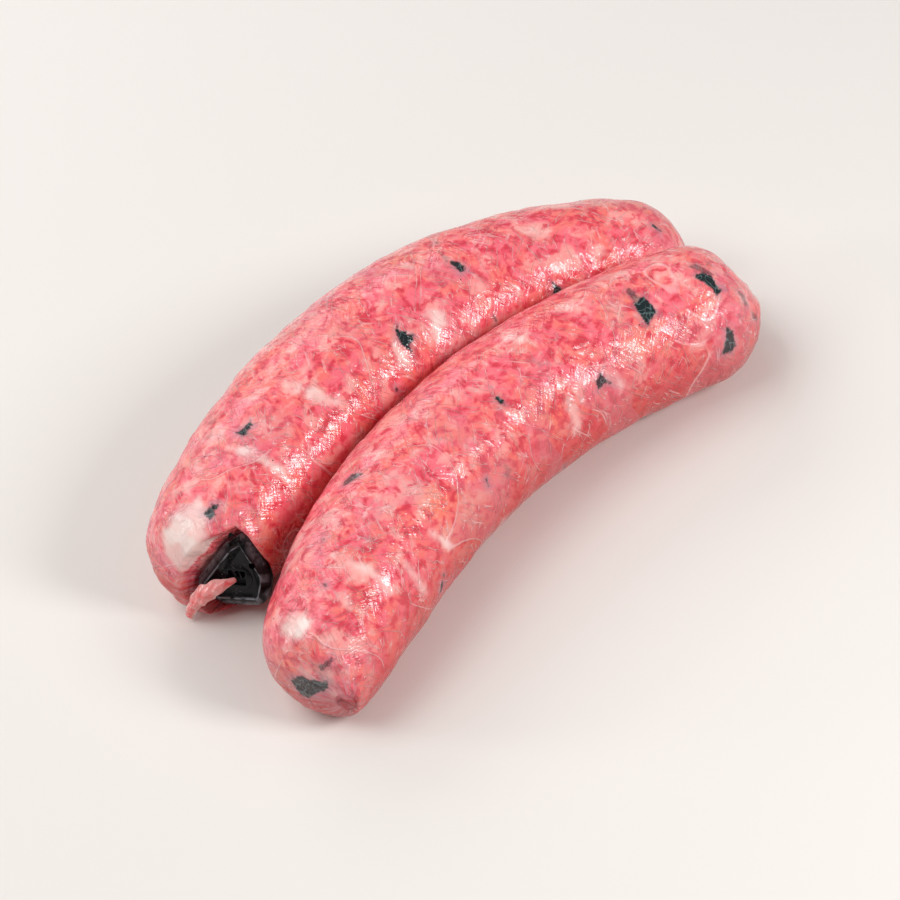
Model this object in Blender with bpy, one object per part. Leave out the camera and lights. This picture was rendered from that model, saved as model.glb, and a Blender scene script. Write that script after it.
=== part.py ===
"""A string of two raw sausage links, folded side by side at the casing twist that joins them.

Each link is minced meat in a natural casing: a bent, slightly flattened tube whose rounded ends
gather to a small pole. The near pole of the rear link is shut by a plastic clip, and the loose end
of the casing hangs from that clip. Metres, +Z up, +X along the links, resting on the plane z = 0.
"""

import math
from dataclasses import dataclass

import bmesh
import bpy
from mathutils import Matrix, Vector

MM = 0.001

# ---------------------------------------------------------------- sizes shared by the pieces
GAP = 0.3 * MM              # air between pieces that touch
WALL_SPACE = 0.18 * MM      # air between a link and the wall where it meets the other link
TINY = 0.0003 * MM          # shorter than this is no distance at all
HEIGHT_RATIO = 0.965        # a soft link is a little lower than it is wide
BELLY_FLAT = 0.7 * MM       # how much of the round belly is pressed flat on the surface
BELLY_EDGE = 0.25 * MM      # softness of that flat spot's edge
SIDE_EDGE = 1.5 * MM        # softness where the links press together

STATIONS = 50               # rings along a link
SEGMENTS = 32               # vertices around a link
SPINE_STEPS = 400           # points that a link's middle line is worked out at
ROUTE_STEP = 0.01           # share of a strand's route that its direction is read over
WALL_STRIDE = 4             # of those points, one in this many shapes the wall between the links

POLE_RADIUS = 2.8 * MM      # the gathered knot of casing at a pole
POLE_REACH = 6              # power that keeps a pole's own shift and turn to the last few rings
PLEATS = 8                  # folds of gathered casing around each pole
PLEAT_DEPTH = 0.08          # swing of the radius across a fold, as a share of the radius


@dataclass
class End:
    """How one end of a link rounds off, and where the casing is gathered on it."""
    reach: float            # length of the rounded part
    bluntness: float        # 2 is an ellipsoid, more is blunter
    side: float             # how far the pole lies to the left of the link's middle line
    drop: float             # how far the pole lies below the middle line
    dimple: float           # how far the pole is drawn back into the link
    turn: float             # degrees that the pole is turned to the left of the link's heading


@dataclass
class Link:
    """Driving sizes of one link. Headings are degrees anticlockwise from +X."""
    start: tuple            # plan position of the near end of the middle line
    length: float
    headings: tuple         # Bezier controls of the heading along the link
    radii: tuple            # Bezier controls of the radius along the link
    near: End
    far: End


FRONT = Link(
    start=(-97.5 * MM, -45 * MM),
    length=185.5 * MM,
    headings=(24, 21, -14.3, -32),
    radii=(14.5 * MM, 25 * MM, 19.5 * MM, 22.3 * MM, 18.5 * MM),
    near=End(reach=25 * MM, bluntness=3.9, side=-10 * MM, drop=1 * MM, dimple=2 * MM, turn=0),
    far=End(reach=18 * MM, bluntness=1.8, side=12 * MM, drop=5 * MM, dimple=6 * MM, turn=70),
)
REAR = Link(
    start=(-91 * MM, 12.8 * MM),
    length=189 * MM,
    headings=(6, 16, -10.5, -48.5),
    radii=(15 * MM, 25.4 * MM, 26.9 * MM, 21.4 * MM, 14.3 * MM),
    near=End(reach=21 * MM, bluntness=2.6, side=-8 * MM, drop=5 * MM, dimple=7 * MM, turn=20),
    far=End(reach=21 * MM, bluntness=2.2, side=-10 * MM, drop=7 * MM, dimple=2 * MM, turn=-20),
)

# Clip: a leaning plastic plate, drawn in its own plane with x to the right and y up.
CLIP_CENTRE = Vector((-78.1 * MM, 4.2 * MM, 11.1 * MM))
CLIP_HEADING = 25           # degrees; the plate faces back along this heading
CLIP_LEAN = 20              # degrees that it leans back against the link
CLIP_THICK = 4 * MM
CLIP_OUTLINE = (            # millimetres, anticlockwise from the top corner
    (4.0, 15.0), (-0.8, 11.8), (-9.6, 0.8), (-9.8, -1.8),
    (-4.6, -6.2), (9.6, -5.4), (11.6, 3.2), (5.4, 13.8),
)
CLIP_CREASE = (0, 5)        # outline corners that the bent face folds between
CLIP_FOLDED = (6, 7)        # outline corners beyond that fold
CLIP_FOLD_DROP = 0.9 * MM
CLIP_RIM = 2.0 * MM         # width of the sloping rim around the face
CLIP_RIM_DROP = 1.5 * MM
POCKET_CENTRE = (2.2 * MM, 2.4 * MM)
POCKET_SIZE = (5.0 * MM, 4.2 * MM, 1.8 * MM)
HOLE_CENTRE = (6.7 * MM, 6.3 * MM)
HOLE_RADIUS = 0.9 * MM
HOLE_DEPTH = 3.0 * MM
HOLE_SEGMENTS = 12
DENT_MARGIN = 3.2 * MM      # the clip presses the link flat this far beyond its outline
DENT_SLOPE = 0.75           # rise of the link's shoulder beyond that, for each unit outwards
DENT_EDGE = 4 * MM          # softness of the edge of that dent

# Loose end of the casing: a crumpled ribbon, in the clip's plane with z outwards.
TAIL_ROUTE = (              # Bezier controls, millimetres
    (1.6, 1.8, -0.4), (-3.5, 0.8, 4.5), (-9.0, -2.5, 3.0), (-12.6, -10.2, 0.2),
)
TAIL_HALF_WIDTHS = (0.7 * MM, 1.9 * MM, 4.0 * MM, 1.6 * MM, 1.1 * MM)
TAIL_HALF_THICK = 0.55 * MM
TAIL_RUFFLES = 3.5          # waves of its edge along its length
TAIL_RUFFLE_DEPTH = 0.7 * MM
TAIL_RUFFLE_LAG = 0.9       # radians between the waves of its two edges
TAIL_STATIONS = 22
TAIL_SEGMENTS = 12

# Twisted casing between the far poles of the two links
TWIST_RADIUS = 2.5 * MM
TWIST_FLATNESS = 0.25       # share of the radius between its ridges and its hollows
TWIST_TURNS = 1.5
TWIST_LEAD = 9 * MM         # how far it runs straight out of each pole
TWIST_STATIONS = 22
TWIST_SEGMENTS = 12


# ---------------------------------------------------------------- small helpers
def bezier(controls, t):
    """Value at t, 0 to 1, of the Bezier curve through these controls."""
    values = list(controls)
    while len(values) > 1:
        values = [a + (b - a) * t for a, b in zip(values, values[1:])]
    return values[0]


def clamp(value, low=0.0, high=1.0):
    return max(low, min(high, value))


def soft_limit(value, limit, softness):
    """The value, kept under the limit with a rounded shoulder."""
    share = clamp(0.5 + 0.5 * (limit - value) / softness)
    return limit + (value - limit) * share - softness * share * (1 - share)


def make_material(name, colour, roughness):
    surface = bpy.data.materials.new(name)
    surface.use_nodes = True
    shader = surface.node_tree.nodes["Principled BSDF"]
    shader.inputs["Base Color"].default_value = (*colour, 1)
    shader.inputs["Roughness"].default_value = roughness
    shader.inputs["Metallic"].default_value = 0
    return surface


def add_piece(name, builder, surface):
    """Turn a bmesh into a named object with outward faces and one material."""
    bmesh.ops.recalc_face_normals(builder, faces=builder.faces)
    mesh = bpy.data.meshes.new(name)
    builder.to_mesh(mesh)
    builder.free()
    if surface:
        mesh.materials.append(surface)
    mesh.shade_smooth()
    piece = bpy.data.objects.new(name, mesh)
    bpy.context.scene.collection.objects.link(piece)
    return piece


def loft(rings):
    """Bridge closed rings of points into one skin and fill its two end rings."""
    builder = bmesh.new()
    loops = []
    for ring in rings:
        verts = [builder.verts.new(point) for point in ring]
        edges = [builder.edges.new(pair) for pair in zip(verts, verts[1:] + verts[:1])]
        loops.append((verts, edges))
    for (_, lower), (_, upper) in zip(loops, loops[1:]):
        bmesh.ops.bridge_loops(builder, edges=lower + upper)
    builder.faces.new(loops[0][0])
    builder.faces.new(loops[-1][0])
    return builder


def along_heading(degrees):
    """Level unit vector along a heading."""
    angle = math.radians(degrees)
    return Vector((math.cos(angle), math.sin(angle), 0))


def to_left(direction):
    return Vector((-direction.y, direction.x, 0))


# ---------------------------------------------------------------- a link's middle line
@dataclass
class Section:
    """One upright cross-section of a link."""
    centre: Vector
    facing: Vector          # level unit vector that the section is square to
    radius: float
    gather: float           # 0 on the body, 1 at a pole


def end_share(distance, reach):
    return clamp((reach - distance) / reach)


def sections(link):
    """Cross-sections at even steps of the middle line, before anything presses on the link."""
    found = []
    place = Vector((*link.start, 0))
    for index in range(SPINE_STEPS + 1):
        t = index / SPINE_STEPS
        heading = bezier(link.headings, t)
        body = bezier(link.radii, t)
        near = end_share(t * link.length, link.near.reach)
        far = end_share((1 - t) * link.length, link.far.reach)
        rounding = math.sqrt((1 - near ** link.near.bluntness) * (1 - far ** link.far.bluntness))
        near_pull = near ** POLE_REACH
        far_pull = far ** POLE_REACH
        onward = along_heading(heading)
        side = link.near.side * near_pull + link.far.side * far_pull
        drop = link.near.drop * near_pull + link.far.drop * far_pull
        inward = link.near.dimple * near_pull - link.far.dimple * far_pull
        turn = link.near.turn * near_pull + link.far.turn * far_pull
        height = body * HEIGHT_RATIO - BELLY_FLAT - drop
        centre = place + to_left(onward) * side + onward * inward + Vector((0, 0, height))
        radius = max(body * rounding, POLE_RADIUS)
        found.append(Section(centre, along_heading(heading + turn), radius, max(near, far)))
        place += onward * (link.length / SPINE_STEPS)
    return found


def even_stations(spine):
    """Pick sections at even distances over the skin, from pole to pole."""
    travelled = [0.0]
    for before, after in zip(spine, spine[1:]):
        run = (after.centre - before.centre).length
        travelled.append(travelled[-1] + math.hypot(run, after.radius - before.radius))
    picked = []
    index = 0
    for station in range(STATIONS):
        wanted = travelled[-1] * station / (STATIONS - 1)
        while index < SPINE_STEPS and travelled[index] < wanted - TINY:
            index += 1
        picked.append(spine[index])
    return picked


# ---------------------------------------------------------------- what presses on a link
def meeting_wall(front_spine, rear_spine):
    """Points and directions, front to rear, of the upright wall where the links press together."""
    wall = []
    for section in front_spine[::WALL_STRIDE]:
        nearest = min(rear_spine[::WALL_STRIDE],
                      key=lambda other: (other.centre - section.centre).xy.length)
        if section.gather > 0 or nearest.gather > 0:
            continue
        apart = (nearest.centre - section.centre).xy
        distance = apart.length
        share = (distance + (section.radius ** 2 - nearest.radius ** 2) / distance) / 2
        wall.append((section.centre.xy + apart.normalized() * share, apart.normalized()))
    return wall


def press_on_wall(point, wall, side):
    """Hold a point on its own side of the wall: side is 1 in front of it, -1 behind."""
    place = point.xy
    foot, direction = min(wall, key=lambda entry: (entry[0] - place).length_squared)
    reach = (place - foot).dot(direction) * side
    shift = soft_limit(reach, -WALL_SPACE, SIDE_EDGE) - reach
    return point + direction.to_3d() * (shift * side)


def outside_outline(place):
    """How far a place in the clip's plane lies outside the clip's convex outline."""
    corners = [Vector(corner) * MM for corner in CLIP_OUTLINE]
    distances = []
    for corner, following in zip(corners, corners[1:] + corners[:1]):
        edge = (following - corner).normalized()
        distances.append((place - corner).dot(Vector((edge.y, -edge.x))))
    return max(distances)


def press_on_clip(point, clip_frame):
    """Hold a point behind the clip, and let it rise beside the clip."""
    local = clip_frame.inverted() @ point
    beside = max(0.0, outside_outline(local.xy) - DENT_MARGIN)
    limit = -CLIP_THICK - GAP + beside * DENT_SLOPE
    local.z = soft_limit(local.z, limit, DENT_EDGE)
    return clip_frame @ local


def press_on_surface(point):
    """Hold a point above the surface that the links lie on."""
    return Vector((point.x, point.y, -soft_limit(-point.z, 0, BELLY_EDGE)))


# ---------------------------------------------------------------- links
def pleated(radius, angle, gather):
    """Radius with the folds of gathered casing, which fade out away from a pole."""
    if radius <= POLE_RADIUS:
        return radius
    return max(radius * (1 + PLEAT_DEPTH * gather ** 3 * math.cos(PLEATS * angle)), POLE_RADIUS)


def link_rings(spine, wall, side, clip_frame=None):
    rings = []
    for section in even_stations(spine):
        right = -to_left(section.facing)
        ring = []
        for index in range(SEGMENTS):
            angle = 2 * math.pi * (index / SEGMENTS - 0.25)
            radius = pleated(section.radius, angle, section.gather)
            point = section.centre + right * (radius * math.cos(angle))
            point.z += radius * math.sin(angle) * HEIGHT_RATIO
            point = press_on_wall(point, wall, side)
            if clip_frame:
                point = press_on_clip(point, clip_frame)
            ring.append(press_on_surface(point))
        rings.append(ring)
    return rings


# ---------------------------------------------------------------- clip
def clip_matrix():
    """Frame of the clip: x to the right and y up in its plane, z out of its face."""
    onward = along_heading(CLIP_HEADING)
    lean = math.radians(CLIP_LEAN)
    outward = Vector((0, 0, math.sin(lean))) - onward * math.cos(lean)
    right = -to_left(onward)
    upward = outward.cross(right)
    rotation = Matrix((right, upward, outward)).transposed()
    return Matrix.Translation(CLIP_CENTRE) @ rotation.to_4x4()


def cutter(name, builder, frame):
    """A hidden solid that a Boolean takes away."""
    tool = add_piece(name, builder, None)
    tool.matrix_world = frame
    tool.hide_render = True
    tool.display_type = "WIRE"
    return tool


def build_clip(frame, surface):
    """Plate with a sloping rim, a face folded along a crease, a pocket and a small hole."""
    builder = bmesh.new()
    back = [builder.verts.new((x * MM, y * MM, -CLIP_THICK)) for x, y in CLIP_OUTLINE]
    base = builder.faces.new(back)
    wall = bmesh.ops.extrude_face_region(builder, geom=[base])
    front = next(item for item in wall["geom"] if isinstance(item, bmesh.types.BMFace))
    for vert in front.verts:
        vert.co.z = -CLIP_RIM_DROP
    bmesh.ops.inset_region(builder, faces=[front], thickness=CLIP_RIM, use_even_offset=True)
    for vert in front.verts:
        vert.co.z = 0
    corners = [min(front.verts, key=lambda vert: (vert.co.xy - Vector(place) * MM).length)
               for place in CLIP_OUTLINE]
    for index in CLIP_FOLDED:
        corners[index].co.z -= CLIP_FOLD_DROP
    bmesh.ops.connect_verts(builder, verts=[corners[index] for index in CLIP_CREASE])
    clip = add_piece("end_clip", builder, surface)
    clip.matrix_world = frame

    pocket = bmesh.new()
    bmesh.ops.create_cube(pocket, size=1)
    bmesh.ops.scale(pocket, vec=Vector((*POCKET_SIZE[:2], 2 * POCKET_SIZE[2])), verts=pocket.verts)
    bmesh.ops.translate(pocket, vec=Vector((*POCKET_CENTRE, 0)), verts=pocket.verts)
    hole = bmesh.new()
    bmesh.ops.create_cone(hole, cap_ends=True, segments=HOLE_SEGMENTS, radius1=HOLE_RADIUS,
                          radius2=HOLE_RADIUS, depth=2 * HOLE_DEPTH)
    bmesh.ops.translate(hole, vec=Vector((*HOLE_CENTRE, 0)), verts=hole.verts)
    for name, builder in (("clip_pocket_cutter", pocket), ("clip_hole_cutter", hole)):
        cut = clip.modifiers.new(name, "BOOLEAN")
        cut.operation = "DIFFERENCE"
        cut.object = cutter(name, builder, frame)
    return clip


# ---------------------------------------------------------------- casing strands
def route_frames(controls, stations, upright):
    """Places along a Bezier route, each with its direction and two square directions."""
    controls = [Vector(control) for control in controls]
    for index in range(stations):
        t = index / (stations - 1)
        ahead = (bezier(controls, min(t + ROUTE_STEP, 1))
                 - bezier(controls, max(t - ROUTE_STEP, 0)))
        ahead.normalize()
        across = ahead.cross(upright).normalized()
        yield t, bezier(controls, t), across, across.cross(ahead)


def build_tail(frame, surface):
    """Loose casing: a flat, ruffled ribbon out of the clip's pocket."""
    rings = []
    route = [Vector(control) * MM for control in TAIL_ROUTE]
    for t, centre, across, above in route_frames(route, TAIL_STATIONS, Vector((0, 0, 1))):
        half_width = bezier(TAIL_HALF_WIDTHS, t)
        ring = []
        for index in range(TAIL_SEGMENTS):
            angle = 2 * math.pi * index / TAIL_SEGMENTS
            out = math.cos(angle)
            lag = TAIL_RUFFLE_LAG if out < 0 else 0
            wave = math.sin(2 * math.pi * TAIL_RUFFLES * t + lag)
            ruffle = TAIL_RUFFLE_DEPTH * wave * out * out * math.sin(math.pi * t)
            ring.append(centre + across * (half_width * out)
                        + above * (TAIL_HALF_THICK * math.sin(angle) + ruffle))
        rings.append(ring)
    tail = add_piece("casing_tail", loft(rings), surface)
    tail.matrix_world = frame
    return tail


def build_twist(front_pole, rear_pole, surface):
    """Casing wrung into a short strand between the far poles of the links."""
    start = front_pole.centre + front_pole.facing * GAP
    end = rear_pole.centre + rear_pole.facing * GAP
    route = (start, start + front_pole.facing * TWIST_LEAD, end + rear_pole.facing * TWIST_LEAD, end)
    rings = []
    for t, centre, across, above in route_frames(route, TWIST_STATIONS, Vector((0, 0, 1))):
        ring = []
        for index in range(TWIST_SEGMENTS):
            angle = 2 * math.pi * index / TWIST_SEGMENTS
            ridge = math.cos(2 * (angle - 2 * math.pi * TWIST_TURNS * t))
            radius = TWIST_RADIUS * (1 - TWIST_FLATNESS / 2 * (1 - ridge))
            ring.append(centre + (across * math.cos(angle) + above * math.sin(angle)) * radius)
        rings.append(ring)
    return add_piece("link_twist", loft(rings), surface)


# ---------------------------------------------------------------- the whole string
def stand_on_origin(pieces):
    """Move all pieces together so that the middle of their box stands on the origin."""
    bpy.context.view_layer.update()
    corners = [piece.matrix_world @ vert.co for piece in pieces for vert in piece.data.vertices]
    low = Vector(min(corner[axis] for corner in corners) for axis in range(3))
    high = Vector(max(corner[axis] for corner in corners) for axis in range(3))
    shift = Vector((-(low.x + high.x) / 2, -(low.y + high.y) / 2, -low.z))
    for item in bpy.data.objects:
        item.location += shift
    return shift


def main():
    for leftover in list(bpy.data.objects):
        bpy.data.objects.remove(leftover, do_unlink=True)
    meat = make_material("meat", (0.78, 0.23, 0.24), 0.3)
    casing = make_material("casing", (0.80, 0.36, 0.34), 0.35)
    plastic = make_material("plastic", (0.02, 0.02, 0.024), 0.25)

    front_spine = sections(FRONT)
    rear_spine = sections(REAR)
    wall = meeting_wall(front_spine, rear_spine)
    frame = clip_matrix()
    pieces = [
        add_piece("link_front", loft(link_rings(front_spine, wall, 1)), meat),
        add_piece("link_rear", loft(link_rings(rear_spine, wall, -1, frame)), meat),
        build_clip(frame, plastic),
        build_tail(frame, casing),
        build_twist(front_spine[-1], rear_spine[-1], casing),
    ]
    return stand_on_origin(pieces)


SHIFT = main()
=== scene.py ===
"""Looks of a string of two raw sausage links with a plastic end clip.

Each link is a fine skin laid over the same middle line as its solid, with the lumps of the minced
meat, the folds of gathered casing and the dent of the clip in its mesh, and the mottled meat, fat,
herb scraps, pepper and casing wrinkles in its material. Metres, +Z up.
"""

import math
import random
from dataclasses import dataclass

import bmesh
import bpy
import numpy as np
from mathutils import Matrix, Vector, noise


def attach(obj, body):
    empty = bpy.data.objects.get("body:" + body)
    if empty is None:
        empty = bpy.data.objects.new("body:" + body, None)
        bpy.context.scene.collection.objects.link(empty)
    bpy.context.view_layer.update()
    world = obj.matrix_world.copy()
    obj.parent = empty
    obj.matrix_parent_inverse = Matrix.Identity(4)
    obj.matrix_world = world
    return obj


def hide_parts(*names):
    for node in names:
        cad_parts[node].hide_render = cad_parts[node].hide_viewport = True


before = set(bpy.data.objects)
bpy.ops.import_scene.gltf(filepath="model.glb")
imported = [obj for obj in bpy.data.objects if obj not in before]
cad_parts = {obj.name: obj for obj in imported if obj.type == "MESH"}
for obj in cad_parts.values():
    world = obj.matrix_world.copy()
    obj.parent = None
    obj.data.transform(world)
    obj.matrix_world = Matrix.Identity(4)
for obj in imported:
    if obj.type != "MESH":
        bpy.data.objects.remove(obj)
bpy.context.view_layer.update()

MM = 0.001
UP = np.array((0.0, 0.0, 1.0))

# ---------------------------------------------------------------- sizes, as in the solids
LAID_AT = (2.946 * MM, 5.730 * MM, 0)   # where the string is moved to, to lie over its origin
HEIGHT_RATIO = 0.965
BELLY_FLAT = 0.7 * MM
BELLY_EDGE = 0.25 * MM
WALL_SPACE = 0.18 * MM
SIDE_EDGE = 1.5 * MM
POLE_RADIUS = 2.8 * MM
POLE_REACH = 6
SPINE_STEPS = 4000
WALL_STRIDE = 12

# The skin's own sizes
ROWS = 430                  # vertices along a link
COLUMNS = 208               # vertices around it
CAP_ROWS = 7                # extra rows that close each pole
ROUND_RADIUS = 20 * MM      # radius that the unrolled skin is drawn at
LUMP_HEIGHT = 0.55 * MM
LUMP_SIZE = 9 * MM
GRAIN_HEIGHT = 0.16 * MM
GRAIN_SIZE = 3.2 * MM
PLEAT_HEIGHT = 0.5 * MM
POLE_DIMPLE = 1.6 * MM
DENT_MARGIN = 0.35 * MM
DENT_SLOPE = 2.4
DENT_EDGE = 1.0 * MM
FAR_OFF = 8.0               # millimetres past which a mark isn't felt
MARK_DEPTH = 7.0            # millimetres of curve that a mark may wrap over
SCRAP_RISE = 0.12 * MM      # how far a scrap under the casing lifts it
LUMP_RISE = 0.35 * MM       # and a lump of fat
FIBRE_TWIST = 52            # radians a metre that the fibres wind round a link
PATTERN_STEP = 0.3          # metres between the fibre patterns of skins with neighbouring seeds


@dataclass
class End:
    """How one end of a link rounds off, and where the casing is gathered on it."""
    reach: float
    bluntness: float
    side: float
    drop: float
    dimple: float
    turn: float


@dataclass
class Link:
    """Driving sizes of one link, the same as its solid's."""
    start: tuple
    length: float
    headings: tuple
    radii: tuple
    near: End
    far: End


FRONT = Link(
    start=(-97.5 * MM, -45 * MM),
    length=185.5 * MM,
    headings=(24, 21, -14.3, -32),
    radii=(14.5 * MM, 25 * MM, 19.5 * MM, 22.3 * MM, 18.5 * MM),
    near=End(reach=25 * MM, bluntness=3.9, side=-10 * MM, drop=1 * MM, dimple=2 * MM, turn=0),
    far=End(reach=18 * MM, bluntness=1.8, side=12 * MM, drop=5 * MM, dimple=6 * MM, turn=70),
)
REAR = Link(
    start=(-91 * MM, 12.8 * MM),
    length=189 * MM,
    headings=(6, 16, -10.5, -48.5),
    radii=(15 * MM, 25.4 * MM, 26.9 * MM, 21.4 * MM, 14.3 * MM),
    near=End(reach=21 * MM, bluntness=2.6, side=-8 * MM, drop=5 * MM, dimple=7 * MM, turn=20),
    far=End(reach=21 * MM, bluntness=2.2, side=-10 * MM, drop=7 * MM, dimple=2 * MM, turn=-20),
)

CLIP_CENTRE = (-78.1 * MM, 4.2 * MM, 11.1 * MM)
CLIP_HEADING = 25
CLIP_LEAN = 20
CLIP_THICK = 4 * MM
CLIP_OUTLINE = (
    (4.0, 15.0), (-0.8, 11.8), (-9.6, 0.8), (-9.8, -1.8),
    (-4.6, -6.2), (9.6, -5.4), (11.6, 3.2), (5.4, 13.8),
)
CLIP_CREASE = (0, 5)
CLIP_RIM = 2.0 * MM
CLIP_RIM_DROP = 1.5 * MM
POCKET_CENTRE = (2.2 * MM, 2.4 * MM)
POCKET_SIZE = (5.0 * MM, 4.2 * MM, 1.8 * MM)
HOLE_CENTRE = (6.7 * MM, 6.3 * MM)
HOLE_RADIUS = 0.9 * MM
HOLE_DEPTH = 3.0 * MM

TAIL_ROUTE = ((1.6, 1.8, -0.4), (-3.5, 0.8, 4.5), (-9.0, -2.5, 3.0), (-12.6, -10.2, 0.2))
TAIL_HALF_WIDTHS = (0.7, 1.9, 4.0, 1.6, 1.1)
TAIL_HALF_THICK = 0.55 * MM
TAIL_RUFFLES = 3.5
TAIL_RUFFLE_DEPTH = 0.7 * MM
TAIL_RUFFLE_LAG = 0.9

TWIST_RADIUS = 2.5 * MM
TWIST_FLATNESS = 0.25
TWIST_TURNS = 1.5
TWIST_LEAD = 9 * MM
POLE_SPACE = 0.3 * MM

# The finer shape of the clip and the strands
CLIP_ROUNDED = (4, 5, 6)    # outline corners that are rounded off
CLIP_CORNER = 3.1 * MM
CLIP_FOLD_SLOPE = 0.3
RIDGE_WIDTH = 0.35 * MM
RIDGE_SLOPE = 0.3 * MM
RIDGE_DEPTH = 0.45 * MM
BOSS_RADII = (4.4 * MM, 3.8 * MM)
BOSS_RISE = 0.2 * MM
TEETH = 2
RIM_CHANNEL = (0.2, 0.8)    # where the channel in the top side's rim begins and ends
TAIL_ROWS = 110
TAIL_SCALLOP = 0.1
TAIL_FOLD_DEPTH = 0.22 * MM
TAIL_CRUMPLE = 0.16 * MM
TWIST_ROWS = 90
TWIST_CREASE = 0.09 * MM
STRAND_COLUMNS = 56


@dataclass
class Mark:
    """Something seen through the casing: where it lies, how plainly it shows, and its outline."""
    link: str
    along: float            # millimetres over the skin from the near pole
    around: float           # degrees around the link from its right side, up and over
    strength: float         # 1 right under the casing, less where meat veils it
    outline: tuple          # millimetres along and around


LEAF_BIT = ((-1.5, 2), (0.5, 2), (1.5, 0.5), (1, -1.5), (-0.5, -2), (-1, 0))
LEAF_SLIVER = ((-0.5, 2), (0.5, 1), (0.5, -1.5), (-0.5, -1))
FAT_STREAK = ((-1.5, 5), (1, 3), (1.5, -2), (0.5, -5), (-1.5, -3))

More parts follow.
